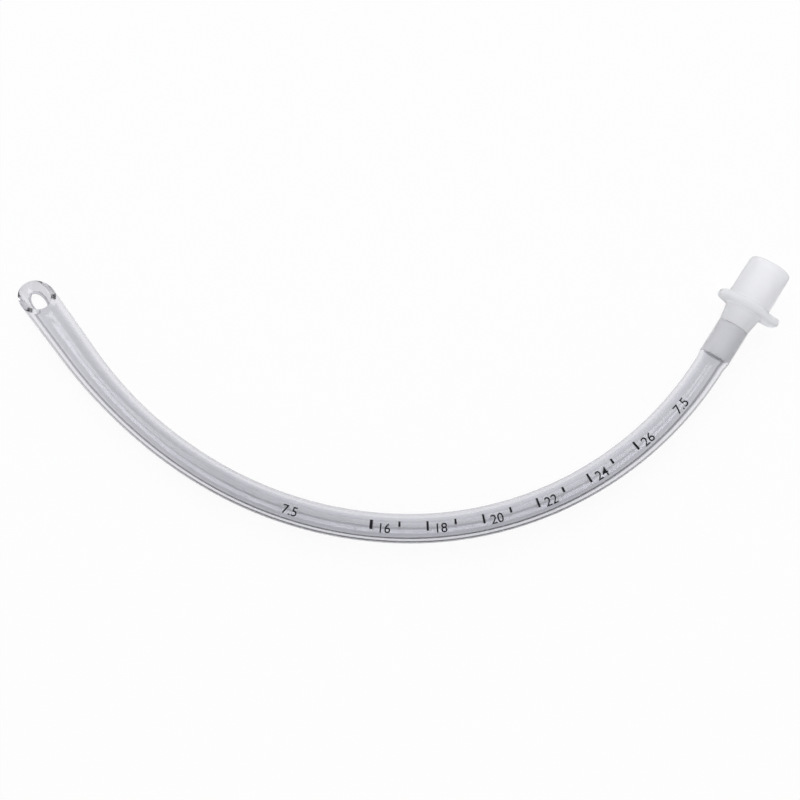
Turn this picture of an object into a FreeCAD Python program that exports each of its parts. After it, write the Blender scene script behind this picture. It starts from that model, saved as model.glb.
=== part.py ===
import FreeCAD, Part
import math
import os
import Sketcher
from FreeCAD import Placement, Rotation, Vector

# Endotracheal tube with its 15 mm push-in connector, at real size in millimetres.
# The tube is one curved clear extrusion: a bevelled patient end with a side eye, and a machine end
# that is stretched over the stem of the connector. The connector is one moulding.
# The finished part lies on the plane z = 0, as it comes to rest on a table, concave side towards +Y.

os.makedirs("parts", exist_ok=True)
doc = FreeCAD.newDocument("EndotrachealTube")

# Lengths and places that differ by less than this count as the same, where edges are picked.
CLOSE = 0.001

# Driving dimensions: millimetres, degrees, and grams for each cubic centimetre. The ears' reaches are
# measured outwards from the flange's disc.
SIZES = {
    "bore_dia": 7.5,
    "tube_dia": 10.4,
    "tip_bore_dia": 9.0,
    "tip_dia": 12.4,
    "tip_run": 34.0,
    "fore_bend_radius": 152.0,
    "fore_bend_turn": 23.7,
    "mid_bend_radius": 139.0,
    "mid_bend_turn": 30.9,
    "rear_bend_radius": 125.0,
    "rear_bend_turn": 36.7,
    "grip_bend_radius": 120.5,
    "grip_bend_turn": 21.1,
    "flare_length": 3.0,
    "bevel_angle": 38.0,
    "bevel_roll": 18.0,
    "rim_edge": 0.3,
    "eye_behind_tip": 9.4,
    "eye_length": 7.6,
    "eye_width": 4.3,
    "stem_dia": 8.4,
    "stem_bore_dia": 6.3,
    "stem_length": 12.5,
    "stem_nose": 0.6,
    "shoulder_dia": 10.8,
    "neck_top_dia": 12.4,
    "neck_length": 6.6,
    "flange_dia": 18.0,
    "flange_thick": 3.0,
    "flange_edge": 0.6,
    "ear_width": 9.0,
    "ear_corner": 2.0,
    "inner_ear_reach": 1.4,
    "outer_ear_reach": 3.4,
    "cone_root_dia": 15.46,
    "cone_length": 15.0,
    "cone_taper": 0.025,
    "cone_wall": 1.7,
    "mouth_edge": 0.5,
    "tube_density": 1.25,
    "connector_density": 0.91,
}

sheet = doc.addObject("Spreadsheet::Sheet", "Sizes")
for row, (name, value) in enumerate(SIZES.items(), start=1):
    sheet.set("A%d" % row, name)
    sheet.set("B%d" % row, str(value))
    sheet.setAlias("B%d" % row, name)
doc.recompute()

# The bends of the centre line, from the straight patient end to the stretched machine end.
BENDS = ["fore_bend", "mid_bend", "rear_bend", "grip_bend"]


def size(name):
    """Value of one cell of the sheet."""
    return float(sheet.get(name))


def station(count):
    """Point and heading of the centre line after so many bends."""
    x, y, heading = size("tip_run"), 0.0, 0.0
    for bend in BENDS[:count]:
        radius = size(bend + "_radius")
        turned = heading + math.radians(size(bend + "_turn"))
        x += radius * (math.sin(turned) - math.sin(heading))
        y += radius * (math.cos(heading) - math.cos(turned))
        heading = turned
    return x, y, heading


def heading_formula(count):
    """The same heading as a formula in the sheet's cells."""
    turns = ["Sizes.%s_turn" % bend for bend in BENDS[:count]]
    return "(%s) * 1 deg" % " + ".join(turns or ["0"])


def point_formulas(count):
    """The same point as two formulas in the sheet's cells."""
    along, across = ["Sizes.tip_run"], []
    for number, bend in enumerate(BENDS[:count]):
        before = heading_formula(number)
        after = heading_formula(number + 1)
        radius = "Sizes.%s_radius" % bend
        along.append("%s * (sin(%s) - sin(%s))" % (radius, after, before))
        across.append("%s * (cos(%s) - cos(%s))" % (radius, before, after))
    return " + ".join(along), " + ".join(across or ["0"])


def origin_plane(body, role):
    """One of the body's own three planes."""
    for item in body.Origin.OriginFeatures:
        if item.Role == role:
            return item
    raise ValueError("no plane " + role)


def new_body(name):
    body = doc.addObject("PartDesign::Body", name)
    body.Label = name
    return body


def new_sketch(body, name, role):
    """A sketch on one of the body's own planes."""
    sketch = body.newObject("Sketcher::SketchObject", name)
    sketch.AttachmentSupport = [(origin_plane(body, role), "")]
    sketch.MapMode = "FlatFace"
    return sketch


def new_feature(body, kind, name, **settings):
    """A PartDesign feature with its properties set, recomputed and checked."""
    feature = body.newObject("PartDesign::" + kind, name)
    for setting, value in settings.items():
        setattr(feature, setting, value)
    doc.recompute()
    if not feature.Shape.isValid():
        raise ValueError("feature failed: " + name)
    return feature


def bind(sketch, constraint, formula):
    """Add a constraint to a sketch and drive it by a formula."""
    index = sketch.addConstraint(constraint)
    sketch.setExpression("Constraints[%d]" % index, formula)


def circle(sketch, diameter, formula):
    """A circle about the sketch's origin, its diameter driven by a formula."""
    ring = sketch.addGeometry(Part.Circle(Vector(0, 0, 0), Vector(0, 0, 1), diameter / 2), False)
    sketch.addConstraint(Sketcher.Constraint("Coincident", ring, 3, -1, 1))
    bind(sketch, Sketcher.Constraint("Diameter", ring, diameter), formula)


def outline(sketch, corners):
    """A closed outline of straight lines through corners, each two formulas and two values."""
    points = [Vector(x, y, 0) for _, _, x, y in corners]
    lines = []
    for start, end in zip(points, points[1:] + points[:1]):
        lines.append(sketch.addGeometry(Part.LineSegment(start, end), False))
    for line, following in zip(lines, lines[1:] + lines[:1]):
        sketch.addConstraint(Sketcher.Constraint("Coincident", line, 2, following, 1))
    for line, (x_formula, y_formula, x, y) in zip(lines, corners):
        for kind, axis, value, formula in (("DistanceX", -2, x, x_formula), ("DistanceY", -1, y, y_formula)):
            if formula == "0":
                sketch.addConstraint(Sketcher.Constraint("PointOnObject", line, 1, axis))
            else:
                bind(sketch, Sketcher.Constraint(kind, -1, 1, line, 1, value), formula)


def centre_line(body):
    """Tangent arcs in the body's XY plane, starting along +X behind the straight patient end."""
    sketch = new_sketch(body, "CentreLine", "XY_Plane")
    arcs = []
    for number, bend in enumerate(BENDS):
        x, y, heading = station(number)
        radius = size(bend + "_radius")
        turn = math.radians(size(bend + "_turn"))
        centre = Vector(x - radius * math.sin(heading), y + radius * math.cos(heading), 0)
        ring = Part.Circle(centre, Vector(0, 0, 1), radius)
        first = heading - math.pi / 2
        arcs.append(sketch.addGeometry(Part.ArcOfCircle(ring, first, first + turn), False))
    sketch.addConstraint(Sketcher.Constraint("PointOnObject", arcs[0], 1, -1))
    sketch.addConstraint(Sketcher.Constraint("Vertical", arcs[0], 1, arcs[0], 3))
    bind(sketch, Sketcher.Constraint("DistanceX", -1, 1, arcs[0], 1, size("tip_run")), "Sizes.tip_run")
    for before, after in zip(arcs, arcs[1:]):
        sketch.addConstraint(Sketcher.Constraint("Tangent", before, 2, after, 1))
    for arc, bend in zip(arcs, BENDS):
        radius = size(bend + "_radius")
        turn = math.radians(size(bend + "_turn"))
        bind(sketch, Sketcher.Constraint("Radius", arc, radius), "Sizes.%s_radius" % bend)
        bind(sketch, Sketcher.Constraint("Angle", arc, turn), "Sizes.%s_turn * 1 deg" % bend)
    return sketch


def run_section(body, name, cell):
    """A circle square to the centre line where the first bend starts."""
    sketch = new_sketch(body, name, "YZ_Plane")
    sketch.AttachmentOffset = Placement(Vector(0, 0, size("tip_run")), Rotation())
    sketch.setExpression("AttachmentOffset.Base.z", "Sizes.tip_run")
    circle(sketch, size(cell), "Sizes." + cell)
    return sketch


def tip_outline(body, name, tip_cell, run_cell):
    """Half section of the patient end, which widens evenly towards the tip."""
    sketch = new_sketch(body, name, "XY_Plane")
    run = size("tip_run")
    outline(sketch, [
        ("0", "0", 0, 0),
        ("Sizes.tip_run", "0", run, 0),
        ("Sizes.tip_run", "Sizes.%s / 2" % run_cell, run, size(run_cell) / 2),
        ("0", "Sizes.%s / 2" % tip_cell, 0, size(tip_cell) / 2),
    ])
    return sketch


def end_sketch(body, name):
    """A sketch in the XY plane at the end of the last bend, with its own X along the heading."""
    sketch = new_sketch(body, name, "XY_Plane")
    x, y, heading = station(len(BENDS))
    turn = Rotation(Vector(0, 0, 1), math.degrees(heading))
    sketch.AttachmentOffset = Placement(Vector(x, y, 0), turn)
    along, across = point_formulas(len(BENDS))
    sketch.setExpression("AttachmentOffset.Base.x", along)
    sketch.setExpression("AttachmentOffset.Base.y", across)
    sketch.setExpression("AttachmentOffset.Rotation.Angle", heading_formula(len(BENDS)))
    return sketch


def end_outline(body, name, near_cell, far_formula, far_radius):
    """Half section of the stretched end: a flare from one radius to another, then a straight run."""
    sketch = end_sketch(body, name)
    flare = size("flare_length")
    length = flare + size("stem_length")
    length_formula = "Sizes.flare_length + Sizes.stem_length"
    outline(sketch, [
        ("0", "0", 0, 0),
        ("0", "Sizes.%s / 2" % near_cell, 0, size(near_cell) / 2),
        ("Sizes.flare_length", far_formula, flare, far_radius),
        (length_formula, far_formula, length, far_radius),
        (length_formula, "0", length, 0),
    ])
    return sketch


def stretched_radius():
    """Outer radius over the stem: the stretched wall keeps the area of the plain tube's wall."""
    return math.sqrt(size("stem_dia") ** 2 + size("tube_dia") ** 2 - size("bore_dia") ** 2) / 2


def rolled_sketch(body, name, role):
    """A sketch on an origin plane that is rolled about the tube's axis, as the bevel is."""
    sketch = new_sketch(body, name, role)
    turn = Rotation(Vector(1, 0, 0), -size("bevel_roll"))
    sketch.AttachmentOffset = Placement(Vector(0, 0, 0), turn)
    sketch.setExpression("AttachmentOffset.Rotation.Angle", "-Sizes.bevel_roll * 1 deg")
    return sketch


def bevel_sketch(body):
    """The wedge above the bevel, which starts at the wall's lowest line and rises at its angle."""
    sketch = rolled_sketch(body, "BevelOutline", "XZ_Plane")
    radius = size("tip_dia") / 2
    run_back = 3 * radius / math.tan(math.radians(size("bevel_angle")))
    outline(sketch, [
        ("0", "-Sizes.tip_dia / 2", 0, -radius),
        ("1.5 * Sizes.tip_dia / tan(Sizes.bevel_angle * 1 deg)", "Sizes.tip_dia", run_back, 2 * radius),
        ("-Sizes.tip_dia", "Sizes.tip_dia", -2 * radius, 2 * radius),
        ("-Sizes.tip_dia", "-Sizes.tip_dia / 2", -2 * radius, -radius),
    ])
    return sketch


def eye_sketch(body):
    """An oval on the line opposite the bevel."""
    sketch = rolled_sketch(body, "EyeOutline", "XY_Plane")
    oval = Part.Ellipse(Vector(size("eye_behind_tip"), 0, 0), size("eye_length") / 2, size("eye_width") / 2)
    ring = sketch.addGeometry(oval, False)
    sketch.exposeInternalGeometry(ring)
    long_axis, short_axis = ring + 1, ring + 2
    sketch.addConstraint(Sketcher.Constraint("PointOnObject", ring, 3, -1))
    sketch.addConstraint(Sketcher.Constraint("PointOnObject", long_axis, 1, -1))
    bind(sketch, Sketcher.Constraint("DistanceX", -1, 1, ring, 3, size("eye_behind_tip")), "Sizes.eye_behind_tip")
    bind(sketch, Sketcher.Constraint("Distance", long_axis, size("eye_length")), "Sizes.eye_length")
    bind(sketch, Sketcher.Constraint("Distance", short_axis, size("eye_width")), "Sizes.eye_width")
    return sketch


def rim_edges(shape):
    """Edges of the bevel's cut face and of the eye: the curved edges of the straight patient end."""
    chosen = []
    for number, edge in enumerate(shape.Edges, start=1):
        straight = edge.Curve.TypeId == "Part::GeomLine"
        if edge.BoundBox.XMax < size("tip_run") - CLOSE and not straight:
            chosen.append("Edge%d" % number)
    return chosen


def build_tube():
    """The curved clear tube, with its tip at the origin and its first run along +X."""
    body = new_body("tube")
    path = centre_line(body)
    bends = ["Edge%d" % (number + 1) for number in range(len(BENDS))]

    tip = tip_outline(body, "TipOutline", "tip_dia", "tube_dia")
    doc.recompute()
    new_feature(body, "Revolution", "PatientEnd", Profile=tip, ReferenceAxis=(tip, ["H_Axis"]), Angle=360)

    run_outside = run_section(body, "RunOutside", "tube_dia")
    doc.recompute()
    new_feature(body, "AdditivePipe", "Run", Profile=run_outside, Spine=(path, bends))

    wall_formula = "sqrt(pow(Sizes.stem_dia; 2) + pow(Sizes.tube_dia; 2) - pow(Sizes.bore_dia; 2)) / 2"
    grip = end_outline(body, "GripOutline", "tube_dia", wall_formula, stretched_radius())
    doc.recompute()
    new_feature(body, "Revolution", "Grip", Profile=grip, ReferenceAxis=(grip, ["H_Axis"]), Angle=360)

    tip_bore = tip_outline(body, "TipBoreOutline", "tip_bore_dia", "bore_dia")
    doc.recompute()
    new_feature(body, "Groove", "PatientLumen", Profile=tip_bore, ReferenceAxis=(tip_bore, ["H_Axis"]), Angle=360)

    run_bore = run_section(body, "RunBore", "bore_dia")
    doc.recompute()
    new_feature(body, "SubtractivePipe", "RunLumen", Profile=run_bore, Spine=(path, bends))

    socket = end_outline(body, "SocketOutline", "bore_dia", "Sizes.stem_dia / 2", size("stem_dia") / 2)
    doc.recompute()
    new_feature(body, "Groove", "Socket", Profile=socket, ReferenceAxis=(socket, ["H_Axis"]), Angle=360)

    bevel = bevel_sketch(body)
    doc.recompute()
    cut = new_feature(body, "Pocket", "Bevel", Profile=bevel, Type="ThroughAll", Midplane=True)

    oval = eye_sketch(body)
    doc.recompute()
    eye = new_feature(body, "Pocket", "Eye", Profile=oval, Type="Length", Length=size("tip_dia"))
    eye.setExpression("Length", "Sizes.tip_dia")
    doc.recompute()
    print("eye removes %.1f mm3" % (cut.Shape.Volume - eye.Shape.Volume))

    rims = new_feature(body, "Chamfer", "RimEdges", Base=(eye, rim_edges(eye.Shape)), Size=size("rim_edge"))
    rims.setExpression("Size", "Sizes.rim_edge")
    doc.recompute()
    body.Tip = rims
    return body


def across_sketch(body, name, offset_formula, offset):
    """A sketch square to the connector's axis, so far from the tip of its stem."""
    sketch = new_sketch(body, name, "YZ_Plane")
    sketch.AttachmentOffset = Placement(Vector(0, 0, offset), Rotation())
    sketch.setExpression("AttachmentOffset.Base.z", offset_formula)
    return sketch


def axial_edges(shape, places):
    """Straight edges along X that run through given places, each a pair of Y and Z."""
    chosen = []
    for number, edge in enumerate(shape.Edges, start=1):
        box = edge.BoundBox
        axial = box.YLength < CLOSE and box.ZLength < CLOSE
        if axial and any(math.hypot(box.Center.y - y, box.Center.z - z) < CLOSE for y, z in places):
            chosen.append("Edge%d" % number)
    return chosen


def ring_edges(shape, planes, reach_from):
    """Edges that lie in planes across X, farther from the axis than a distance."""
    chosen = []
    for number, edge in enumerate(shape.Edges, start=1):
        box = edge.BoundBox
        middle = edge.valueAt((edge.FirstParameter + edge.LastParameter) / 2)
        flat = box.XLength < CLOSE
        in_plane = any(abs(box.XMin - plane) < CLOSE for plane in planes)
        if flat and in_plane and math.hypot(middle.y, middle.z) > reach_from + CLOSE:
            chosen.append("Edge%d" % number)
    return chosen


def build_connector():
    """The moulded connector, with the tip of its stem at the origin and its mouth along +X."""
    body = new_body("connector")
    stem_end = size("stem_length")
    neck_end = stem_end + size("neck_length")
    flange_end = neck_end + size("flange_thick")
    mouth = flange_end + size("cone_length")
    stem_radius = size("stem_dia") / 2
    nose = size("stem_nose")
    root_radius = size("cone_root_dia") / 2
    mouth_radius = root_radius - size("cone_taper") * size("cone_length") / 2
    wall = size("cone_wall")

    neck_end_cell = "Sizes.stem_length + Sizes.neck_length"
    flange_end_cell = neck_end_cell + " + Sizes.flange_thick"
    mouth_cell = flange_end_cell + " + Sizes.cone_length"
    root_cell = "Sizes.cone_root_dia / 2"
    mouth_radius_cell = "(Sizes.cone_root_dia - Sizes.cone_taper * Sizes.cone_length) / 2"

    profile = new_sketch(body, "OutsideOutline", "XY_Plane")
    outline(profile, [
        ("0", "0", 0, 0),
        ("0", "Sizes.stem_dia / 2 - Sizes.stem_nose", 0, stem_radius - nose),
        ("2 * Sizes.stem_nose", "Sizes.stem_dia / 2", 2 * nose, stem_radius),
        ("Sizes.stem_length", "Sizes.stem_dia / 2", stem_end, stem_radius),
        ("Sizes.stem_length", "Sizes.shoulder_dia / 2", stem_end, size("shoulder_dia") / 2),
        (neck_end_cell, "Sizes.neck_top_dia / 2", neck_end, size("neck_top_dia") / 2),
        (neck_end_cell, root_cell, neck_end, root_radius),
        (flange_end_cell, root_cell, flange_end, root_radius),
        (mouth_cell, mouth_radius_cell, mouth, mouth_radius),
        (mouth_cell, "0", mouth, 0),
    ])
    doc.recompute()
    new_feature(body, "Revolution", "Outside", Profile=profile, ReferenceAxis=(profile, ["H_Axis"]), Angle=360)

    disc = across_sketch(body, "FlangeOutline", neck_end_cell, neck_end)
    circle(disc, size("flange_dia"), "Sizes.flange_dia")
    doc.recompute()
    flange = new_feature(body, "Pad", "Flange", Profile=disc, Type="Length", Length=size("flange_thick"))
    flange.setExpression("Length", "Sizes.flange_thick")

    bar = across_sketch(body, "EarOutline", neck_end_cell, neck_end)
    half_width = size("ear_width") / 2
    flange_radius = size("flange_dia") / 2
    inner = flange_radius + size("inner_ear_reach")
    outer = flange_radius + size("outer_ear_reach")
    inner_cell = "Sizes.flange_dia / 2 + Sizes.inner_ear_reach"
    outer_cell = "-(Sizes.flange_dia / 2 + Sizes.outer_ear_reach)"
    outline(bar, [
        (outer_cell, "-Sizes.ear_width / 2", -outer, -half_width),
        (inner_cell, "-Sizes.ear_width / 2", inner, -half_width),
        (inner_cell, "Sizes.ear_width / 2", inner, half_width),
        (outer_cell, "Sizes.ear_width / 2", -outer, half_width),
    ])
    doc.recompute()
    ears = new_feature(body, "Pad", "Ears", Profile=bar, Type="Length", Length=size("flange_thick"))
    ears.setExpression("Length", "Sizes.flange_thick")
    doc.recompute()

    places = [(reach, side * half_width) for reach in (-outer, inner) for side in (-1, 1)]
    corners = new_feature(body, "Fillet", "EarCorners", Base=(ears, axial_edges(ears.Shape, places)),
                          Radius=size("ear_corner"))
    corners.setExpression("Radius", "Sizes.ear_corner")
    doc.recompute()
    rims = ring_edges(corners.Shape, (neck_end, flange_end), root_radius)
    edges = new_feature(body, "Chamfer", "FlangeEdges", Base=(corners, rims), Size=size("flange_edge"))
    edges.setExpression("Size", "Sizes.flange_edge")
    doc.recompute()

    inside = new_sketch(body, "InsideOutline", "XY_Plane")
    outline(inside, [
        ("0", "0", 0, 0),
        ("0", "Sizes.stem_bore_dia / 2", 0, size("stem_bore_dia") / 2),
        ("Sizes.stem_length", "Sizes.stem_bore_dia / 2", stem_end, size("stem_bore_dia") / 2),
        (flange_end_cell, root_cell + " - Sizes.cone_wall", flange_end, root_radius - wall),
        (mouth_cell, root_cell + " - Sizes.cone_wall", mouth, root_radius - wall),
        (mouth_cell, "0", mouth, 0),
    ])
    doc.recompute()
    bore = new_feature(body, "Groove", "Inside", Profile=inside, ReferenceAxis=(inside, ["H_Axis"]), Angle=360)

    lip = new_feature(body, "Chamfer", "MouthEdges", Base=(bore, ring_edges(bore.Shape, (mouth,), 0)),
                      Size=size("mouth_edge"))
    lip.setExpression("Size", "Sizes.mouth_edge")
    doc.recompute()
    body.Tip = lip
    return body


def centre_point(bend_number, turn):
    """Point and heading part-way through one bend."""
    x, y, heading = station(bend_number)
    radius = size(BENDS[bend_number] + "_radius")
    turned = heading + turn
    x += radius * (math.sin(turned) - math.sin(heading))
    y += radius * (math.cos(heading) - math.cos(turned))
    return Vector(x, y, 0), turned


def centre_of_mass(tube, connector, seat):
    """Centre of mass of both pieces, in the tube's frame."""
    tube_mass = tube.Shape.Volume * size("tube_density")
    connector_mass = connector.Shape.Volume * size("connector_density")
    tube_centre = tube.Shape.CenterOfGravity
    connector_centre = seat.multVec(connector.Shape.CenterOfGravity)
    return (tube_centre * tube_mass + connector_centre * connector_mass) / (tube_mass + connector_mass)


def resting_tilt(tube, connector, seat):
    """Turn about the contact's tangent that rests the flange and the tube on one plane.

    The tube touches the table at one point of a bend and the flange at one point of its rim. The
    line between the two passes under the centre of mass.
    """
    flange_middle = size("stem_length") + size("neck_length") + size("flange_thick") / 2
    flange = seat.multVec(Vector(flange_middle, 0, 0))
    centre = centre_of_mass(tube, connector, seat)

    def miss(place):
        number = min(int(place), len(BENDS) - 1)
        turn = (place - number) * math.radians(size(BENDS[number] + "_turn"))
        point, heading = centre_point(number, turn)
        reach = flange - point
        lever = centre - point
        return reach.x * lever.y - reach.y * lever.x, point, heading

    before, after = 0.0, float(len(BENDS))
    start_sign = miss(before)[0] > 0
    for _ in range(60):
        middle = (before + after) / 2
        if (miss(middle)[0] > 0) == start_sign:
            before = middle
        else:
            after = middle
    point, heading = miss(before)[1:]
    inward = Vector(-math.sin(heading), math.cos(heading), 0)
    axis = Vector(math.cos(heading), math.sin(heading), 0)
    lever = (flange - point).dot(inward)
    lean = math.asin((size("flange_dia") - size("tube_dia")) / 2 / lever)
    return Rotation(axis, math.degrees(lean))


tube = build_tube()
connector = build_connector()

# The connector's stem stands in the stretched end, and its shoulder meets the tube's end face.
end_x, end_y, end_heading = station(len(BENDS))
along = Vector(math.cos(end_heading), math.sin(end_heading), 0)
seat = Placement(Vector(end_x, end_y, 0) + along * size("flare_length"),
                 Rotation(Vector(0, 0, 1), math.degrees(end_heading)))

# The chord from the tip to the mouth lies along +X, and the part leans as it rests on a table.
connector_length = size("stem_length") + size("neck_length") + size("flange_thick") + size("cone_length")
mouth_point = seat.multVec(Vector(connector_length, 0, 0))
lean = resting_tilt(tube, connector, seat)
level = Rotation(Vector(0, 0, 1), -math.degrees(math.atan2(mouth_point.y, mouth_point.x)))
pose = Placement(Vector(0, 0, 0), level * lean)
tube.Placement = pose
connector.Placement = pose * seat
doc.recompute()

# The origin is under the middle of the part's box, on the table.
boxes = [item.Shape.optimalBoundingBox(True, False) for item in (tube, connector)]
low = Vector(*[min(getattr(box, name) for box in boxes) for name in ("XMin", "YMin", "ZMin")])
high = Vector(*[max(getattr(box, name) for box in boxes) for name in ("XMax", "YMax", "ZMax")])
shift = Vector(-(low.x + high.x) / 2, -(low.y + high.y) / 2, -low.z)
for item in (tube, connector):
    item.Placement = Placement(item.Placement.Base + shift, item.Placement.Rotation)
doc.recompute()

for item in doc.Objects:
    if "Invalid" in item.State or "Error" in item.State:
        raise ValueError("failed object: " + item.Name)
for item in (tube, connector):
    if item.Shape.isNull() or not item.Shape.isValid() or len(item.Shape.Solids) != 1:
        raise ValueError("bad solid: " + item.Label)

for item in (tube, connector):
    item.Shape.exportStep("parts/%s.step" % item.Label)
    box = item.Shape.optimalBoundingBox(True, False)
    print("%s: %.1f mm3, x %.2f to %.2f, y %.2f to %.2f, z %.2f to %.2f" % (
        item.Label, item.Shape.Volume, box.XMin, box.XMax, box.YMin, box.YMax, box.ZMin, box.ZMax))
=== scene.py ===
# %% [markdown]
# # A clear breathing tube and its connector
# An endotracheal tube is a soft, clear plastic tube that was moulded to a curve. Its patient end is cut
# to a slant and has an oval eye in the wall. Its machine end is stretched over the stem of a milky push-in
# connector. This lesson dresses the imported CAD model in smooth, finished pieces: the tube, the connector
# and the ink on the tube. The CAD model stays as the frame, so everything is placed in its coordinates.

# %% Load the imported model
import math

import bpy
import numpy as np
from mathutils import Matrix, Quaternion, Vector


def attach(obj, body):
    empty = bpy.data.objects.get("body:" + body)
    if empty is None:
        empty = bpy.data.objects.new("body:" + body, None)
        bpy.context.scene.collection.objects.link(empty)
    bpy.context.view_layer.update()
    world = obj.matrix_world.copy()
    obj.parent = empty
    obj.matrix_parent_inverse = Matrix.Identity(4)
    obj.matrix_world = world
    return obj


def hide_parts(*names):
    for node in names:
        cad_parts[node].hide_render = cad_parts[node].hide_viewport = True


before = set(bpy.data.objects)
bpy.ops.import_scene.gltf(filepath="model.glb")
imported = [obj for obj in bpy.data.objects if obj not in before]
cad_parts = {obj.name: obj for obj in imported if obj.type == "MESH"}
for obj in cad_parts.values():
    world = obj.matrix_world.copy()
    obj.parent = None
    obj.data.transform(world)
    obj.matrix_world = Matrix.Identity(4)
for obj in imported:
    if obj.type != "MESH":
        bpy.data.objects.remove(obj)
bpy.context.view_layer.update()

# %% [markdown]
# ## How the tube runs
# The real tube is extruded straight and bent warm. The same order works here: the tube is modelled
# straight, in millimetres, and then laid along its centre line. The line is a straight end and a chain
# of tangent arcs, as in the CAD model, so the bent wall is as round as the straight one.

# %% Sizes of the tube and its place at rest
MM = 0.001
TUBE_R, BORE_R, TIP_R = 5.2, 3.75, 6.2
TIP_RUN = 34.0
BENDS = [(152.0, 23.7), (139.0, 30.9), (125.0, 36.7), (120.5, 21.1)]
FLARE_LENGTH = 3.0
STEM_LENGTH, STEM_R = 12.5, 4.2
GRIP_R = math.sqrt(STEM_R ** 2 + TUBE_R ** 2 - BORE_R ** 2)
GRIP_START = TIP_RUN + sum(radius * math.radians(turn) for radius, turn in BENDS)
FLARE_END = GRIP_START + FLARE_LENGTH
TUBE_END = FLARE_END + STEM_LENGTH
TUBE_TURN = Quaternion((-0.88738869, -0.01475269, -0.00100148, 0.46078483))
TUBE_PLACE = Vector((-133.08884, 45.97062, 6.41289))
CONNECTOR_TURN = Quaternion((-0.87655548, -0.00903907, 0.01170214, -0.48107364))
CONNECTOR_PLACE = Vector((109.92126, 14.64511, 8.42068))
print("tube length %.1f mm, stretched end from %.1f mm" % (TUBE_END, GRIP_START))


# %% Helpers that lay straight points along the tube
def centre_line(s):
    """Points and headings of the centre line at distances s from the tip."""
    x, y, heading = np.minimum(s, TIP_RUN), np.zeros_like(s), np.zeros_like(s)
    start = TIP_RUN
    for radius, turn in BENDS:
        length = radius * math.radians(turn)
        after = heading + np.clip(s - start, 0, length) / radius
        x = x + radius * (np.sin(after) - np.sin(heading))
        y = y + radius * (np.cos(heading) - np.cos(after))
        heading = after
        start += length
    rest = np.maximum(s - start, 0)
    return x + rest * np.cos(heading), y + rest * np.sin(heading), heading


def bent(points):
    """Straight-tube points (along, across, up), bent with the centre line."""
    x, y, heading = centre_line(points[:, 0])
    across = points[:, 1]
    return np.column_stack([x - across * np.sin(heading), y + across * np.cos(heading), points[:, 2]])


# %% Helpers that read, move and place a piece
def at_rest(turn, place):
    """Matrix from a piece's own millimetres to metres at rest."""
    return Matrix.Scale(MM, 4) @ Matrix.Translation(place) @ turn.to_matrix().to_4x4()


def points_of(piece):
    """All vertices of a piece as an array."""
    flat = np.zeros(len(piece.data.vertices) * 3)
    piece.data.vertices.foreach_get("co", flat)
    return flat.reshape(-1, 3)


def set_points(piece, points):
    """Move all vertices of a piece."""
    piece.data.vertices.foreach_set("co", points.astype(np.float32).ravel())
    piece.data.update()


def box_of(piece):
    """Lowest and highest corner of a piece, rounded for printing."""
    points = points_of(piece)
    return [tuple(round(float(value), 4) for value in end) for end in (points.min(0), points.max(0))]


# %% [markdown]
# ## Turned pieces
# The tube and the connector are both round about an axis, so each starts as a section that is turned
# once, as on a lathe. A circle primitive with one vertex for each corner of the section gives a closed
# ring of edges. Its vertices are put on the section, and Spin sweeps it round.

# %% Helpers for selecting and turning
DOUBLES = 0.0005


def pick(piece):
    """Make a piece the only selected and active object."""
    bpy.ops.object.select_all(action="DESELECT")
    piece.select_set(True)
    bpy.context.view_layer.objects.active = piece


def turned(name, section, steps):
    """A closed section of (along, radius) corners, turned once about the X axis."""
    bpy.ops.object.select_all(action="DESELECT")
    bpy.ops.mesh.primitive_circle_add(vertices=len(section), radius=1)
    piece = bpy.context.object
    piece.name = name
    piece.data.name = name
    set_points(piece, np.array([(x, 0, r) for x, r in section]))
    bpy.ops.object.mode_set(mode="EDIT")
    bpy.ops.mesh.select_all(action="SELECT")
    bpy.ops.mesh.spin(steps=steps, angle=math.tau, center=(0, 0, 0), axis=(1, 0, 0), use_auto_merge=False)
    bpy.ops.mesh.select_all(action="SELECT")
    bpy.ops.mesh.remove_doubles(threshold=DOUBLES)
    bpy.ops.mesh.normals_make_consistent(inside=False)
    bpy.ops.object.mode_set(mode="OBJECT")
    return piece


# %% Helpers for sections
def spaced(start, end, step):
    """Evenly spaced values from start up to end, without end."""
    count = max(1, round(abs(end - start) / step))
    return [start + (end - start) * i / count for i in range(count)]


def line(x0, r0, x1, r1, step):
    """Points along a slanting line, without its end."""
    count = max(1, round(math.hypot(x1 - x0, r1 - r0) / step))
    return [(x0 + (x1 - x0) * i / count, r0 + (r1 - r0) * i / count) for i in range(count)]


def corner(centre_x, centre_r, radius_x, radius_r, start, end, steps=5):
    """Points on a quarter round from one angle to another, without its last point."""
    angles = [math.radians(start + (end - start) * i / steps) for i in range(steps)]
    return [(centre_x + radius_x * math.cos(a), centre_r + radius_r * math.sin(a)) for a in angles]


# %% Helpers that finish a piece
def keep_straight(piece):
    """Keep a piece's own millimetres as an attribute, for its material."""
    own = piece.data.attributes.new("straight", "FLOAT_VECTOR", "POINT")
    own.data.foreach_set("vector", points_of(piece).astype(np.float32).ravel())


def finish_piece(piece, smooth_angle):
    """Smooth shading that keeps edges sharper than an angle."""
    pick(piece)
    bpy.ops.object.shade_smooth_by_angle(angle=math.radians(smooth_angle))
    piece.data.update()


# %% [markdown]
# ## The wall of the tube
# The wall is 1.45 mm thick, with a rounded rim at each end. The rings of the section are close together
# near the eye and farther apart on the plain run. The outside has 18 rows in the eye's length and the
# inside has 12, because the eye takes fewer of the wide outer columns than of the narrow inner ones. So
# both openings of the eye get 64 edges, and they can be joined edge to edge.

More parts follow.
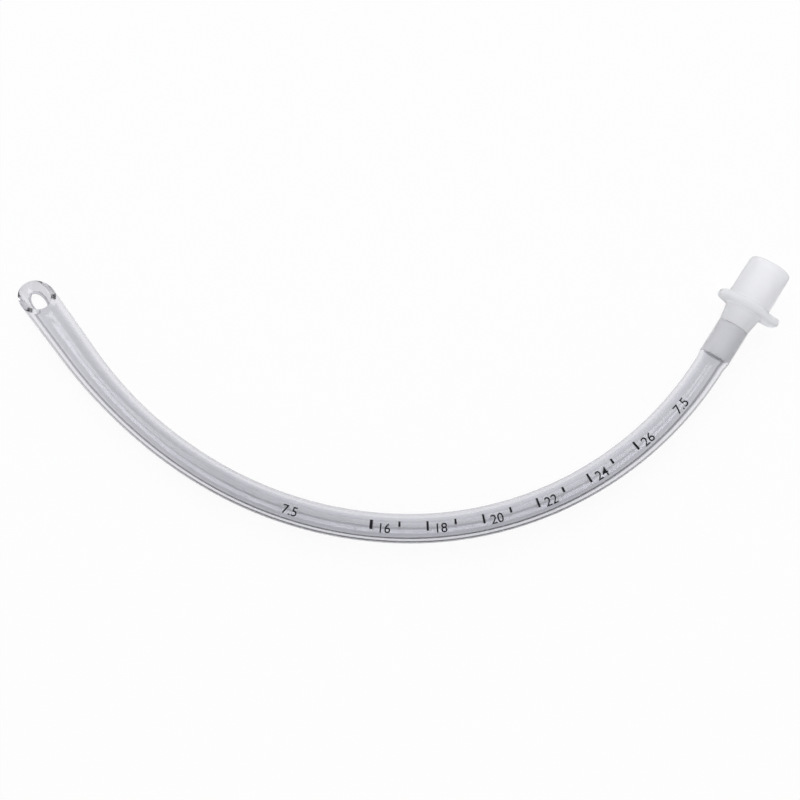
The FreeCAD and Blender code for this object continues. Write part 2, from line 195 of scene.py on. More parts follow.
# %% Sizes of the wall, the slant and the eye
STEPS_ROUND = 128
WIDER = TIP_R / TUBE_R
RIM, END_RIM = 0.84, 0.15
SLANT_RUN = 34.0
BEVEL = math.radians(38)
EYE_S, EYE_A, EYE_B = 9.4, 3.8, 2.15
OUT_ROWS, OUT_COLUMNS = 18, 7
IN_ROWS, IN_COLUMNS = 12, 10
EYE_EDGES = 2 * (OUT_ROWS + 2 * OUT_COLUMNS)
PLAIN_START = 20
PLAIN_STEP, FLARE_STEP, GRIP_STEP = 1.6, 0.4, 1.2

out_row = 2 * EYE_A / OUT_ROWS
out_start, out_end = EYE_S - EYE_A, EYE_S + EYE_A
in_lean = (TIP_R - BORE_R * WIDER) / math.tan(BEVEL)
in_centre = (EYE_S - in_lean) / (1 - in_lean / SLANT_RUN)
in_row = 2 * EYE_A / (1 - in_lean / SLANT_RUN) / IN_ROWS
in_start, in_end = in_centre - in_row * IN_ROWS / 2, in_centre + in_row * IN_ROWS / 2
print("eye: %d edges a side, rows of %.2f and %.2f mm" % (EYE_EDGES, out_row, in_row))


# %% Turn the wall
def wall_section():
    """Corners of the wall's section: out along the outside, back along the bore."""
    rim_r = RIM / WIDER
    flat = (TUBE_R - BORE_R - 2 * rim_r) / 3
    last = TUBE_END - END_RIM
    out = spaced(RIM, out_start, out_row) + spaced(out_start, out_end, out_row)
    out += spaced(out_end, PLAIN_START, out_row) + spaced(PLAIN_START, GRIP_START, PLAIN_STEP)
    out += spaced(GRIP_START, FLARE_END, FLARE_STEP) + spaced(FLARE_END, last, GRIP_STEP)
    back = spaced(last, FLARE_END, GRIP_STEP) + spaced(FLARE_END, GRIP_START, FLARE_STEP)
    back += spaced(GRIP_START, PLAIN_START, PLAIN_STEP) + spaced(PLAIN_START, in_end, out_row)
    back += spaced(in_end, in_start, in_row) + spaced(in_start, RIM, in_row)
    section = corner(RIM, TUBE_R - rim_r, RIM, rim_r, 180, 90)
    section += [(x, TUBE_R) for x in out]
    section += corner(last, TUBE_R - END_RIM, END_RIM, END_RIM, 90, 0, 3)
    section += corner(last, BORE_R + END_RIM, END_RIM, END_RIM, 0, -90, 3)
    section += [(x, BORE_R) for x in back]
    section += corner(RIM, BORE_R + rim_r, RIM, rim_r, 270, 180)
    section += [(0, BORE_R + rim_r + flat * part) for part in range(3)]
    return section


tube = turned("clear_tube", wall_section(), STEPS_ROUND)
print("wall section:", len(wall_section()), "corners; tube:", len(tube.data.vertices), "vertices")

# %% [markdown]
# ## The eye
# The eye is an oval hole opposite the slant. A Boolean would leave long thin faces, which show in clear
# plastic. Here a rectangle of faces is deleted from each wall, its border is moved onto the oval, and the
# rows around it follow less and less. Then the two borders are bridged, and the edges are rounded. The
# inner border is a little larger, so the hole flares inwards and its wall shows as a ring.

# %% Find and open the eye
ROUND_STEP = math.tau / STEPS_ROUND
NEAR = 0.001


def eye_grid(x, r, turn):
    """Row and column of each vertex from the eye's middle, and which of them are near the eye."""
    outer = r > (TUBE_R + BORE_R) / 2
    rows = np.where(outer, (x - EYE_S) / out_row / (OUT_ROWS / 2), (x - in_centre) / in_row / (IN_ROWS / 2))
    columns = np.where(outer, turn / ROUND_STEP / OUT_COLUMNS, turn / ROUND_STEP / IN_COLUMNS)
    on_wall = (abs(r - TUBE_R) < NEAR) | (abs(r - BORE_R) < NEAR)
    return rows, columns, outer, on_wall


def round_places(points):
    """Distance along, radius, and turn from the lowest line of the tube."""
    return points[:, 0], np.hypot(points[:, 1], points[:, 2]), np.arctan2(points[:, 1], -points[:, 2])


def open_eye(piece):
    """Delete the faces inside both borders of the eye and bridge the borders."""
    rows, columns, outer, on_wall = eye_grid(*round_places(points_of(piece)))
    inside = on_wall & (np.maximum(abs(rows), abs(columns)) < 1 + NEAR)
    pick(piece)
    bpy.ops.object.mode_set(mode="EDIT")
    bpy.ops.mesh.select_mode(type="FACE")
    bpy.ops.mesh.select_all(action="DESELECT")
    bpy.ops.object.mode_set(mode="OBJECT")
    for face in piece.data.polygons:
        face.select = all(inside[v] for v in face.vertices)
    bpy.ops.object.mode_set(mode="EDIT")
    bpy.ops.mesh.delete(type="FACE")
    bpy.ops.mesh.select_mode(type="EDGE")
    bpy.ops.mesh.select_all(action="DESELECT")
    bpy.ops.mesh.select_non_manifold()
    bpy.ops.mesh.bridge_edge_loops()
    bpy.ops.object.mode_set(mode="OBJECT")


open_eye(tube)
print("eye opened:", len(tube.data.polygons), "faces left")

# %% [markdown]
# ## The formed ends
# The slant pushes each ring back by its depth under the top line, less and less along the tube. The wall
# also widens towards the tip. At the machine end it is stretched over the stem, where it gets thinner, so
# that the area of its section stays the same.

# %% Put the eye's rings on ovals
REACH = 1.75
EYE_FLARE = 0.45
TINY = 1e-6


def oval_places(rows, columns, outer, r):
    """The grid's rings as ovals round the eye's middle: places along and across, and the rings' numbers."""
    ring = np.maximum(np.maximum(abs(rows), abs(columns)), TINY)
    half_end = np.where(outer, 2 * OUT_COLUMNS, 2 * IN_COLUMNS) / EYE_EDGES * math.pi
    on_end = abs(rows) >= abs(columns) - TINY
    on_side = half_end + (math.pi - 2 * half_end) * (1 - rows / ring) / 2
    angle = np.where(on_end, half_end * columns / ring, np.sign(columns) * on_side)
    angle = np.where(on_end & (rows < 0), math.pi - angle, angle)
    grow_s = (ring - 1) * EYE_A
    grow_w = (ring - 1) * np.where(outer, OUT_COLUMNS, IN_COLUMNS) * ROUND_STEP * r * WIDER
    flare = np.where(outer, 0, EYE_FLARE) * (REACH - np.minimum(ring, REACH)) / (REACH - 1)
    along = EYE_S + (EYE_A + flare + grow_s) * np.cos(angle)
    across = (EYE_B + flare + grow_w) * np.sin(angle)
    return along, across, ring


# %% Form both ends
ROLL = math.radians(18)
UP = np.array([math.sin(ROLL), math.cos(ROLL)])
SIDE = np.array([math.cos(ROLL), -math.sin(ROLL)])
FULL_WIDTH_TO, PLAIN_WIDTH_FROM = 8, 70


def smooth_step(value):
    """0 below 0, 1 above 1, and smooth between."""
    value = np.clip(value, 0, 1)
    return value * value * (3 - 2 * value)


def widening(s):
    """How much wider the tube is at s than on its plain run."""
    return 1 + (WIDER - 1) * smooth_step((PLAIN_WIDTH_FROM - s) / (PLAIN_WIDTH_FROM - FULL_WIDTH_TO))


def formed(points):
    """Straight tube with the slanted, widened patient end, the eye's oval and the stretched end."""
    x, r, from_below = round_places(points)
    lean = (TIP_R - r * WIDER * np.cos(from_below)) / math.tan(BEVEL)
    s = x + np.clip(1 - x / SLANT_RUN, 0, 1) * lean
    rows, columns, outer, on_wall = eye_grid(x, r, from_below)
    oval_s, oval_w, ring = oval_places(rows, columns, outer, r)
    share = np.where(on_wall, 1 - smooth_step((ring - 1) / (REACH - 1)), 0)
    wide = widening(s) * r
    w = wide * np.sin(from_below)
    s = s + share * (oval_s - s)
    w = w + share * (oval_w - w)
    from_below = np.where(share > 0, np.arcsin(np.clip(w / wide, -1, 1)), from_below)
    out_part = (r - BORE_R) / (TUBE_R - BORE_R)
    grown = (STEM_R - BORE_R) * (1 - out_part) + (GRIP_R - TUBE_R) * out_part
    radius = r * widening(s) + smooth_step((s - GRIP_START) / FLARE_LENGTH) * grown
    across = np.outer(radius * np.sin(from_below), SIDE) - np.outer(radius * np.cos(from_below), UP)
    return np.column_stack([s, across])


set_points(tube, formed(points_of(tube)))
print("formed tube, in its own mm:", box_of(tube))

# %% Round the eye's two borders
EYE_ROUND, ROUND_CUTS = 0.28, 4
ON_OVAL, ONE_WALL = 0.02, 0.5


def eye_border(piece):
    """Which vertices lie on the two borders of the eye."""
    points = points_of(piece)
    up, side = points[:, 1:] @ UP, points[:, 1:] @ SIDE
    flare = np.where(np.hypot(up, side) > (TUBE_R + BORE_R) / 2 * WIDER, 0, EYE_FLARE)
    oval = ((points[:, 0] - EYE_S) / (EYE_A + flare)) ** 2 + (side / (EYE_B + flare)) ** 2
    return (abs(oval - 1) < ON_OVAL) & (up < 0)


def round_borders(piece):
    """Bevel the border edges, which join two border vertices of the same wall."""
    on_border = eye_border(piece)
    points = points_of(piece)
    radii = np.hypot(points[:, 1], points[:, 2])
    pick(piece)
    bpy.ops.object.mode_set(mode="EDIT")
    bpy.ops.mesh.select_mode(type="EDGE")
    bpy.ops.mesh.select_all(action="DESELECT")
    bpy.ops.object.mode_set(mode="OBJECT")
    chosen = 0
    for edge in piece.data.edges:
        a, b = edge.vertices
        edge.select = bool(on_border[a] and on_border[b] and abs(radii[a] - radii[b]) < ONE_WALL)
        chosen += edge.select
    bpy.ops.object.mode_set(mode="EDIT")
    bpy.ops.mesh.bevel(offset=EYE_ROUND, offset_type="OFFSET", segments=ROUND_CUTS, profile=0.5, affect="EDGES")
    bpy.ops.mesh.select_all(action="SELECT")
    bpy.ops.mesh.normals_make_consistent(inside=False)
    bpy.ops.object.mode_set(mode="OBJECT")
    return chosen


print("eye: %d border edges rounded" % round_borders(tube))

# %% Keep which faces get the painted shade: the eye's inner wall and its two rounded borders
EYE_MARGIN = 0.3


def cut_faces(piece):
    """Numbers of the faces on and near the eye's oval."""
    found = []
    for face in piece.data.polygons:
        s, y, z = face.center
        across = (y * SIDE[0] + z * SIDE[1]) / (EYE_B + EYE_FLARE + EYE_MARGIN)
        along = (s - EYE_S) / (EYE_A + EYE_FLARE + EYE_MARGIN)
        if across ** 2 + along ** 2 < 1 and y * UP[0] + z * UP[1] < 0:
            found.append(face.index)
    return found


eye_shade_faces = cut_faces(tube)
print("cut faces:", len(eye_shade_faces))

# %% Bend the tube, put it in place and keep its straight coordinates for the material
keep_straight(tube)
set_points(tube, bent(points_of(tube)))
tube.data.transform(at_rest(TUBE_TURN, TUBE_PLACE))
finish_piece(tube, 60)
print("tube box:", box_of(tube))

# %% [markdown]
# ## The connector
# The connector is one moulding: a stem in the tube, a neck, a flange with two ears and the cone that a
# breathing circuit pushes onto. It is turned like the tube. The ears are not round, but every ray from the
# axis meets their outline once, so the flange's rim can be pushed out along the rays onto it.

# %% Sizes of the connector
NECK_LENGTH, FLANGE_THICK, CONE_LENGTH = 6.6, 3.0, 15.0
NECK_END = STEM_LENGTH + NECK_LENGTH
FLANGE_END = NECK_END + FLANGE_THICK
MOUTH = FLANGE_END + CONE_LENGTH
STEM_PRESS = 0.02
STEM_EDGE, STEM_CHAMFER, CHAMFER_R = 0.3, 0.5, 3.9
SHOULDER_GAP, SHOULDER_ROUND, SHOULDER_R = 0.05, 0.25, 5.45
NECK_R, NECK_FILLET = 6.2, 1.4
FLANGE_R, FLANGE_ROUND = 9.0, 1.15
CONE_ROOT_R, CONE_MOUTH_R, ROOT_FILLET = 7.73, 7.5425, 0.12
LIP, INNER_LIP = 1.1, 0.38
CONE_BORE_R, STEM_BORE_R = 6.03, 3.15
CONNECTOR_STEPS = 192


# %% Turn the connector
def outer_section():
    """Corners from the stem's tip along the outside to the mouth."""
    stem_r = STEM_R + STEM_PRESS
    shoulder, top = STEM_LENGTH + SHOULDER_GAP, STEM_LENGTH + SHOULDER_GAP + SHOULDER_ROUND
    inset = FLANGE_R - FLANGE_ROUND
    neck, low, high = NECK_END - NECK_FILLET, NECK_END + FLANGE_ROUND, FLANGE_END - FLANGE_ROUND
    section = corner(STEM_EDGE, STEM_BORE_R + STEM_EDGE, STEM_EDGE, STEM_EDGE, 270, 180, 3)
    section += line(0, CHAMFER_R, STEM_CHAMFER, stem_r, 0.3)
    section += line(STEM_CHAMFER, stem_r, shoulder, stem_r, 1.0)
    section += line(shoulder, stem_r, shoulder, SHOULDER_R - SHOULDER_ROUND, 0.4)
    section += corner(top, SHOULDER_R - SHOULDER_ROUND, SHOULDER_ROUND, SHOULDER_ROUND, 180, 90, 3)
    section += line(top, SHOULDER_R, neck, NECK_R, 0.6)
    section += corner(neck, NECK_R + NECK_FILLET, NECK_FILLET, NECK_FILLET, 270, 360, 6)
    section += line(NECK_END, NECK_R + NECK_FILLET, NECK_END, inset, 0.3)
    section += corner(low, inset, FLANGE_ROUND, FLANGE_ROUND, 180, 90, 6)
    section += line(low, FLANGE_R, high, FLANGE_R, 0.4)
    section += corner(high, inset, FLANGE_ROUND, FLANGE_ROUND, 90, 0, 6)
    root = FLANGE_END + ROOT_FILLET
    section += corner(root, CONE_ROOT_R + ROOT_FILLET, ROOT_FILLET, ROOT_FILLET, 180, 270, 3)
    section += line(root, CONE_ROOT_R, MOUTH - LIP, CONE_MOUTH_R, 1.0)
    return section + corner(MOUTH - LIP, CONE_MOUTH_R - LIP, LIP, LIP, 90, 0, 8)


def inner_section():
    """Corners from the mouth back through the bore to the stem's tip."""
    lip = MOUTH - INNER_LIP
    section = corner(lip, CONE_BORE_R + INNER_LIP, INNER_LIP, INNER_LIP, 0, -90, 4)
    section += line(lip, CONE_BORE_R, FLANGE_END, CONE_BORE_R, 1.0)
    section += line(FLANGE_END, CONE_BORE_R, STEM_LENGTH, STEM_BORE_R, 0.8)
    return section + line(STEM_LENGTH, STEM_BORE_R, STEM_EDGE, STEM_BORE_R, 1.0)


connector = turned("milky_connector", outer_section() + inner_section(), CONNECTOR_STEPS)
print("connector:", len(connector.data.vertices), "vertices")

# %% The outline of the flange with its ears
EAR_HALF_WIDTH = 4.5
EAR_OUT, EAR_IN = -12.4, 10.4
EAR_CORNER, EAR_BLEND = 2.6, 2.2
NEAREST, FARTHEST, HALVINGS = 5.0, 15.0, 40


def flange_distance(y, z):
    """Distance outside the flange's outline: a disc and a rounded bar, blended where they meet."""
    disc = np.hypot(y, z) - FLANGE_R
    away_y = abs(y - (EAR_OUT + EAR_IN) / 2) - (EAR_IN - EAR_OUT) / 2 + EAR_CORNER
    away_z = abs(z) - EAR_HALF_WIDTH + EAR_CORNER
    outside = np.hypot(np.maximum(away_y, 0), np.maximum(away_z, 0))
    bar = outside + np.minimum(np.maximum(away_y, away_z), 0) - EAR_CORNER
    part = np.clip(0.5 + 0.5 * (bar - disc) / EAR_BLEND, 0, 1)
    return bar + (disc - bar) * part - EAR_BLEND * part * (1 - part)


def ear_reach(turn, inset):
    """Distance from the axis to the outline, inset by so much, along rays at these turns."""
    near, far = np.full_like(turn, NEAREST), np.full_like(turn, FARTHEST)
    for _ in range(HALVINGS):
        middle = (near + far) / 2
        inside = flange_distance(middle * np.sin(turn), middle * np.cos(turn)) < -inset
        near, far = np.where(inside, middle, near), np.where(inside, far, middle)
    return near


# %% Push the flange's rim out to the ears, and curl their ends a little towards the cone
RIM_START = FLANGE_R - FLANGE_ROUND - 0.01
CURL_START, CURL_POWER = 8.5, 1.5
IN_CURL, OUT_CURL = 0.08, 0.025

points = points_of(connector)
x, y, r = points[:, 0], points[:, 1], np.hypot(points[:, 1], points[:, 2])
turn = np.arctan2(points[:, 1], points[:, 2])
on_rim = (r > RIM_START) & (x > NECK_END - NEAR) & (x < FLANGE_END + NEAR)
reach = np.where(on_rim, ear_reach(turn, np.maximum(FLANGE_R - r, 0)), r)
curl = np.where(y > 0, IN_CURL, OUT_CURL) * np.maximum(reach - CURL_START, 0) ** CURL_POWER
x = x + np.where(on_rim, curl, 0)
set_points(connector, np.column_stack([x, reach * np.sin(turn), reach * np.cos(turn)]))
keep_straight(connector)
connector.data.transform(at_rest(CONNECTOR_TURN, CONNECTOR_PLACE))
finish_piece(connector, 50)
print("ears reach", round(float(reach.max()), 2), "mm")

# %% [markdown]
# ## The ink
# The depth marks are printed on the side that faces up. Each is a thin plate of ink, modelled flat and
# wrapped on the tube. A text object gives the numerals. They are cut into narrow strips before they are
# wrapped, because a flat face across a round wall would sink into it.

# %% Helpers that wrap flat ink on the tube
INK_THICK = 0.03
INK_LIFT = 0.01
STRIP = 0.25
ink = []


def wrapped(points):
    """Flat ink points (along, up across the tube, height) laid on the wall, then bent with the tube."""
    angle = points[:, 1] / TUBE_R
    radius = TUBE_R * widening(points[:, 0]) + INK_LIFT + points[:, 2]
    return bent(np.column_stack([points[:, 0], radius * np.sin(angle), radius * np.cos(angle)]))


def cut_in_strips(piece):
    """Cut a flat piece along the tube into strips narrow enough to wrap."""
    points = points_of(piece)
    low, high = points[:, 1].min(), points[:, 1].max()
    pick(piece)
    bpy.ops.object.mode_set(mode="EDIT")
    for number in range(1, max(2, math.ceil((high - low) / STRIP))):
        bpy.ops.mesh.select_all(action="SELECT")
        bpy.ops.mesh.bisect(plane_co=(0, low + number * STRIP, 0), plane_no=(0, 1, 0))
    bpy.ops.object.mode_set(mode="OBJECT")


def lay_ink(piece):
    """Give the selected flat ink its thickness, wrap it on the tube and keep it in the list of ink."""
    bpy.ops.object.transform_apply(location=True, rotation=True, scale=True)
    cut_in_strips(piece)
    thick = piece.modifiers.new("Thickness", "SOLIDIFY")
    thick.thickness = INK_THICK
    thick.offset = 1
    pick(piece)
    bpy.ops.object.modifier_apply(modifier=thick.name)
    set_points(piece, wrapped(points_of(piece)))
    piece.data.transform(at_rest(TUBE_TURN, TUBE_PLACE))
    ink.append(piece)


# %% Helpers that print a mark and a numeral
MARK_TOP = 3.3
NUMERAL, NUMERAL_LOW = 3.3, -1.0
FIGURE_SHARE = 0.69
BOLDER = 0.02


def print_mark(name, s, length, width):
    """One mark across the tube."""
    bpy.ops.object.select_all(action="DESELECT")
    bpy.ops.mesh.primitive_plane_add(size=1, location=(s, MARK_TOP - length / 2, 0))
    mark = bpy.context.object
    mark.name = name
    mark.scale = (width, length, 1)
    lay_ink(mark)


def print_numeral(name, words, s):
    """Plain numerals that read along the tube. A figure is 0.69 of the font's size high."""
    bpy.ops.object.select_all(action="DESELECT")
    bpy.ops.object.text_add(location=(s, NUMERAL_LOW, 0))
    numeral = bpy.context.object
    numeral.name = name
    numeral.data.body = words
    numeral.data.size = NUMERAL / FIGURE_SHARE
    numeral.data.offset = BOLDER
    bpy.ops.object.convert(target="MESH")
    lay_ink(numeral)


# %% Print the depth marks and numerals
MARK_LONG, MARK_SHORT, MARK_WIDE = 3.4, 2.0, 0.8
FIRST_WIDER = 1.4
LONG_MARKS, FIRST_MARK, HALF_SPACE = 6, 157.0, 10
FIRST_DEPTH, DEPTH_STEP = 16, 2
NUMERAL_AFTER = 2.2
SIZE_AFTER, SIZE_BEFORE = 118, 32

for number in range(LONG_MARKS):
    s = FIRST_MARK + 2 * HALF_SPACE * number
    depth = FIRST_DEPTH + DEPTH_STEP * number
    print_mark("long_mark_%d" % (number + 1), s, MARK_LONG, MARK_WIDE * (FIRST_WIDER if number == 0 else 1))
    print_numeral("depth_numeral_%d" % depth, str(depth), s + NUMERAL_AFTER)
    if number < LONG_MARKS - 1:
        print_mark("short_mark_%d" % (number + 1), s + HALF_SPACE, MARK_SHORT, MARK_WIDE)
print_numeral("size_numeral_machine_end", "7.5", FIRST_MARK + SIZE_AFTER)
print_numeral("size_numeral_patient_end", "7.5", FIRST_MARK - SIZE_BEFORE)
print("ink pieces:", len(ink))

# %% [markdown]
# ## Materials
# Soft medical plastic is clear with a faint grey-lilac tint, a little haze and fine drawing lines along
# the tube from the extruder's die. Where it is stretched over the stem it turns slightly white. Where the eye
# was punched it is duller, and a darker tint there is painted shade round the eye. The connector is frosted:
# light goes through it, but nothing can be seen through it. Its stem looks solid white, because the soft wall
# lies tight on it. Ink is black and slightly uneven. Values that are the same all over a piece are set on the
# shader's own sockets.

# %% Helpers for materials
def new_material(name, sockets):
    """A node material, with plain values on the sockets of its Principled shader."""
    material = bpy.data.materials.new(name)
    material.use_nodes = True
    nodes, links = material.node_tree.nodes, material.node_tree.links
    shader = nodes["Principled BSDF"]
    for socket, value in sockets.items():
        shader.inputs[socket].default_value = value
    return material, nodes, links, shader


def changing(nodes, links, source, stretch, values):
    """A value that goes from one number to another over a stretch of its source."""
    change = nodes.new("ShaderNodeMapRange")
    for socket, value in zip(("From Min", "From Max", "To Min", "To Max"), stretch + values):
        change.inputs[socket].default_value = value
    links.new(source, change.inputs["Value"])
    return change.outputs["Result"]


def own_places(nodes, links):
    """A piece's own millimetres, and the part of them that runs along it."""
    where = nodes.new("ShaderNodeAttribute")
    where.attribute_name = "straight"
    split = nodes.new("ShaderNodeSeparateXYZ")
    links.new(where.outputs["Vector"], split.inputs["Vector"])
    return where.outputs["Vector"], split.outputs["X"]


def noise(nodes, links, source, scale, detail=2.0):
    """A noise pattern on these coordinates."""
    grain = nodes.new("ShaderNodeTexNoise")
    grain.inputs["Scale"].default_value = scale
    grain.inputs["Detail"].default_value = detail
    links.new(source, grain.inputs["Vector"])
    return grain.outputs["Fac"]


def relief(nodes, links, shader, height, strength, distance):
    """Let a pattern tilt the surface a little."""
    bump = nodes.new("ShaderNodeBump")
    bump.inputs["Strength"].default_value = strength
    bump.inputs["Distance"].default_value = distance
    links.new(height, bump.inputs["Height"])
    links.new(bump.outputs["Normal"], shader.inputs["Normal"])


# %% Soft plastic, clear and punched
SOFT_IOR = 1.53
WHITENED = 0.7


def cut_plastic():
    """The soft plastic where it was punched: duller, and darker to look through, which is painted shade round
    the eye.
    """
    return new_material("eye_soft_plastic_painted_shade", {"Base Color": (0.42, 0.41, 0.46, 1), "IOR": SOFT_IOR,
                                             "Roughness": 0.25, "Transmission Weight": 1.0})[0]


def clear_plastic():
    """Clear soft plastic with fine lines along the tube, whiter where it is stretched."""
    material, nodes, links, shader = new_material("clear_soft_plastic", {
        "Base Color": (0.90, 0.90, 0.93, 1), "IOR": SOFT_IOR, "Roughness": 0.06, "Transmission Weight": 1.0})
    places, along = own_places(nodes, links)
    clearness = changing(nodes, links, along, (FLARE_END - 0.3, FLARE_END), (1.0, WHITENED))
    links.new(clearness, shader.inputs["Transmission Weight"])
    drawn = nodes.new("ShaderNodeMapping")
    drawn.inputs["Scale"].default_value = (0.03, 1.1, 1.1)
    links.new(places, drawn.inputs["Vector"])
    lines = noise(nodes, links, drawn.outputs["Vector"], 1.0, 3.0)
    relief(nodes, links, shader, lines, 0.03, 0.0002)
    return material


# %% Hard plastic and ink
FROSTED = 0.8


def milky_plastic():
    """Frosted hard plastic that light soaks through, whiter where the soft wall wets the stem."""
    material, nodes, links, shader = new_material("milky_hard_plastic", {
        "Base Color": (0.97, 0.97, 0.98, 1), "IOR": 1.49, "Roughness": 0.8, "Transmission Weight": FROSTED})
    places, along = own_places(nodes, links)
    soak = changing(nodes, links, along, (STEM_LENGTH - 0.1, STEM_LENGTH + 0.1), (0.0, FROSTED))
    links.new(soak, shader.inputs["Transmission Weight"])
    where = nodes.new("ShaderNodeTexCoord")
    grain = noise(nodes, links, where.outputs["Object"], 900.0)
    relief(nodes, links, shader, grain, 0.06, 0.0001)
    return material


def black_ink():
    """Black print that is a little thin in places."""
    material, nodes, links, shader = new_material("black_print", {"Roughness": 0.55, "Specular IOR Level": 0.2})
    where = nodes.new("ShaderNodeTexCoord")
    shades = nodes.new("ShaderNodeValToRGB")
    shades.color_ramp.elements[0].color = (0.004, 0.004, 0.006, 1)
    shades.color_ramp.elements[1].color = (0.02, 0.02, 0.024, 1)
    links.new(noise(nodes, links, where.outputs["Object"], 2500.0), shades.inputs["Fac"])
    links.new(shades.outputs["Color"], shader.inputs["Base Color"])
    return material


# %% Put the materials on the pieces
CLEAR, EYE_SHADE_PLASTIC, MILKY, INK = clear_plastic(), cut_plastic(), milky_plastic(), black_ink()
for piece, material in [(tube, CLEAR), (connector, MILKY)] + [(mark, INK) for mark in ink]:
    piece.data.materials.clear()
    piece.data.materials.append(material)
# The faces round the eye take the darker plastic, which is painted shade.
tube.data.materials.append(EYE_SHADE_PLASTIC)
for number in eye_shade_faces:
    tube.data.polygons[number].material_index = 1
print("materials:", [material.name for material in (CLEAR, EYE_SHADE_PLASTIC, MILKY, INK)])

# %% Tell the frame what each piece stands for
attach(tube, "root")
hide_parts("tube")
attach(connector, "root")
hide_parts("connector")
for mark in ink:
    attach(mark, "root")
for name, stand_in in (("tube", CLEAR), ("connector", MILKY)):
    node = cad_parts[name]
    node.data.materials.clear()
    node.data.materials.append(stand_in)

# %% [markdown]
# ## Floor
# The part lies on a white sheet, and the camera looks straight down, about 40 cm above. The sheet's white
# comes from its own colour for the camera, and it still shows a soft shadow. Through the clear wall, the
# sheet glows more under the two ends of the tube than under its middle, which is painted light.

# %% Colour management
bpy.context.scene.view_settings.view_transform = "Standard"
print("view transform:", bpy.context.scene.view_settings.view_transform)


# %% Helpers for the stage's materials
def worked_out(nodes, links, operation, first, second=None):
    """The result of one Math node on sockets or plain numbers."""
    math_node = nodes.new("ShaderNodeMath")
    math_node.operation = operation
    for place, source in enumerate((first, second)):
        if isinstance(source, float):
            math_node.inputs[place].default_value = source
        elif source is not None:
            links.new(source, math_node.inputs[place])
    return math_node.outputs["Value"]


def from_middle(nodes, links):
    """Distance in metres to either side of the middle of the picture."""
    where = nodes.new("ShaderNodeTexCoord")
    split = nodes.new("ShaderNodeSeparateXYZ")
    links.new(where.outputs["Object"], split.inputs["Vector"])
    return worked_out(nodes, links, "ABSOLUTE", split.outputs["X"])


def mix_shaders(nodes, links, share, first, second):
    """Show the second shader by a share, and the first by the rest."""
    mixed = nodes.new("ShaderNodeMixShader")
    links.new(share, mixed.inputs["Fac"])
    links.new(first, mixed.inputs[1])
    links.new(second, mixed.inputs[2])
    links.new(mixed.outputs["Shader"], nodes["Material Output"].inputs["Surface"])


# %% Floor
FLOOR_SIZE = 6
SEEN_BY_CAMERA = 0.93
# Share of glow seen through the wall, from the middle to the ends: painted light towards the ends.
PAINTED_GLOW_THROUGH = (0.2, 0.6)
PAINTED_GLOW_OVER = (0.06, 0.125)


def white_sheet():
    """A white sheet that takes shadows, with part of its white from its own glow. Seen through the tube, the
    glow grows towards the tube's ends: painted light.
    """
    material, nodes, links, shader = new_material("white_sheet", {"Base Color": (0.82, 0.82, 0.83, 1),
                                                                  "Roughness": 0.9})
    glow = nodes.new("ShaderNodeEmission")
    glow.inputs["Color"].default_value = (1, 1, 1, 1)
    ray = nodes.new("ShaderNodeLightPath").outputs
    # Painted light: through the wall the sheet glows more towards both ends of the tube.
    painted_glow_share = changing(nodes, links, from_middle(nodes, links), PAINTED_GLOW_OVER, PAINTED_GLOW_THROUGH)
    through = worked_out(nodes, links, "MAXIMUM", ray["Is Glossy Ray"], ray["Is Transmission Ray"])
    through = worked_out(nodes, links, "MULTIPLY", through, painted_glow_share)
    direct = worked_out(nodes, links, "MULTIPLY", ray["Is Camera Ray"], SEEN_BY_CAMERA)
    share = worked_out(nodes, links, "MAXIMUM", direct, through)
    mix_shaders(nodes, links, share, shader.outputs["BSDF"], glow.outputs["Emission"])
    return material


bpy.ops.object.select_all(action="DESELECT")
bpy.ops.mesh.primitive_plane_add(size=FLOOR_SIZE)
floor = bpy.context.object
floor.name = "floor"
floor.data.materials.append(white_sheet())

# %% [markdown]
# Clear plastic shows what lies behind it. On the side away from the lamp, its outermost rim looks straight
# down at the contact shadow, which makes a thin dark line. A dim strip on the floor deepens that shadow. It
# is seen only through the wall, and it fades where the tube turns towards the lamp.

# %% Lay the contact shadow under the outer side of the bend
STRIP_FROM, STRIP_TO = 1.2, 2.0
STRIP_START, STRIP_CUTS, STRIP_HEIGHT = 2.0, 180, 0.00001

bpy.ops.object.select_all(action="DESELECT")
bpy.ops.mesh.primitive_grid_add(x_subdivisions=STRIP_CUTS, y_subdivisions=1, size=2)
strip = bpy.context.object
strip.name = "contact_shadow"
grid = points_of(strip)
s = np.interp(grid[:, 0], [-1, 1], [STRIP_START, TUBE_END])
beside = np.where(grid[:, 1] > 0, STRIP_FROM, STRIP_TO) * TUBE_R * widening(s)
set_points(strip, bent(np.column_stack([s, -beside, np.zeros_like(s)])))
strip.data.transform(at_rest(TUBE_TURN, TUBE_PLACE))
laid = points_of(strip)
laid[:, 2] = STRIP_HEIGHT
set_points(strip, laid)
print("contact shadow:", len(strip.data.polygons), "faces")

# %% Make the contact shadow fade, and show it only through the wall
SHADOW_SHARES = (0.95, 0.35)
FADES_OVER = (0.05, 0.14)


def shadow_strip():
    """Nearly black, and more and more transparent towards both ends of the tube."""
    material, nodes, links, shader = new_material("shadow_strip", {"Base Color": (0.03, 0.03, 0.035, 1),
                                                                   "Roughness": 1.0})
    share = changing(nodes, links, from_middle(nodes, links), FADES_OVER, SHADOW_SHARES)
    clear = nodes.new("ShaderNodeBsdfTransparent")
    mix_shaders(nodes, links, share, clear.outputs["BSDF"], shader.outputs["BSDF"])
    return material


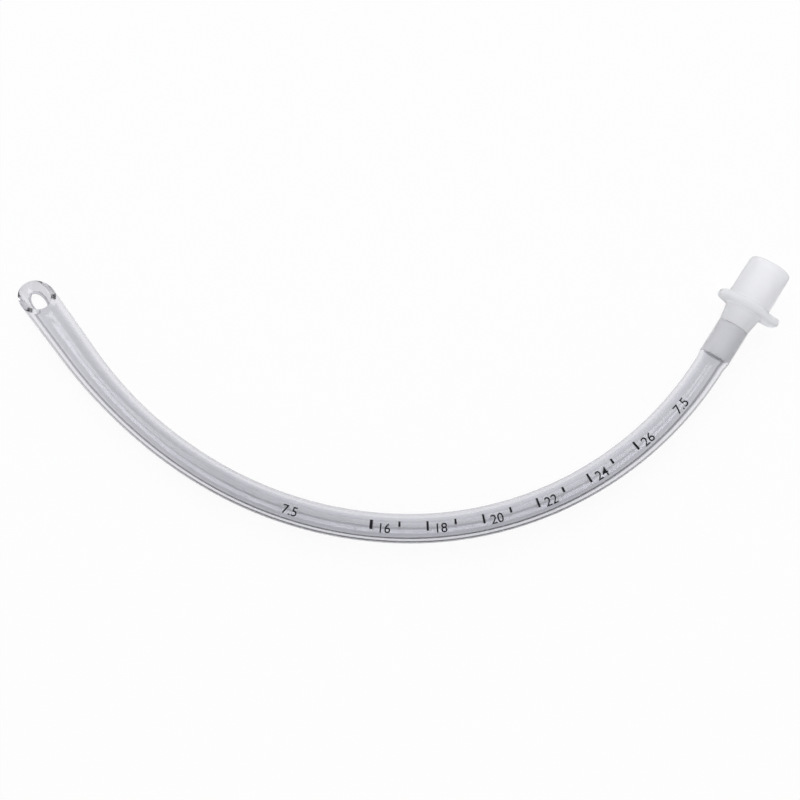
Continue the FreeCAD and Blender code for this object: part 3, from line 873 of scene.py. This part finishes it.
strip.data.materials.append(shadow_strip())
strip.visible_camera = False
strip.visible_diffuse = False
strip.visible_glossy = False
strip.visible_shadow = False

# %% [markdown]
# ## Light and camera
# The world gives even light from all sides. One large soft lamp stands about 50 degrees high on the inner
# side of the bend and gives a little more than the world does. Light in the clear wall is reflected many
# times before it leaves, so Cycles gets more bounces: with the usual few, dark patches show in the wall.

# %% World
WORLD_COLOUR = (0.47, 0.475, 0.49, 1)

world = bpy.data.worlds.new("studio")
bpy.context.scene.world = world
world.use_nodes = True
world.node_tree.nodes["Background"].inputs["Color"].default_value = WORLD_COLOUR
world.node_tree.nodes["Background"].inputs["Strength"].default_value = 1.0

# %% Key lamp and bounces
KEY_PLACE, KEY_SIZE, KEY_POWER = (0, 1.928, 2.298), 2.6, 72.0
BOUNCES = 24


def soft_lamp(name, place, size, power):
    """A square area lamp that faces the part."""
    lamp = bpy.data.lights.new(name, "AREA")
    lamp.size = size
    lamp.energy = power
    holder = bpy.data.objects.new(name, lamp)
    holder.location = place
    holder.rotation_euler = (-Vector(place)).to_track_quat("-Z", "Y").to_euler()
    bpy.context.scene.collection.objects.link(holder)
    return holder


key_lamp = soft_lamp("key_lamp", KEY_PLACE, KEY_SIZE, KEY_POWER)
key_lamp.visible_glossy = False
cycles = bpy.context.scene.cycles
cycles.max_bounces = cycles.glossy_bounces = cycles.transmission_bounces = BOUNCES
print("lamp:", key_lamp.name, "bounces:", cycles.max_bounces)

# %% Camera
CAMERA_PLACE = (-0.00062, 0.00105, 0.405)
CAMERA_ROLL = math.radians(-0.79)
IMAGE_PIXELS, FOCAL_PIXELS, SENSOR = 800, 1130, 36

view = bpy.data.cameras.new("photo_view")
view.lens = FOCAL_PIXELS / IMAGE_PIXELS * SENSOR
view.sensor_width = SENSOR
view.clip_start = 0.01
camera = bpy.data.objects.new("photo_view", view)
camera.location = CAMERA_PLACE
camera.rotation_euler = (0, 0, CAMERA_ROLL)
bpy.context.scene.collection.objects.link(camera)
bpy.context.scene.camera = camera
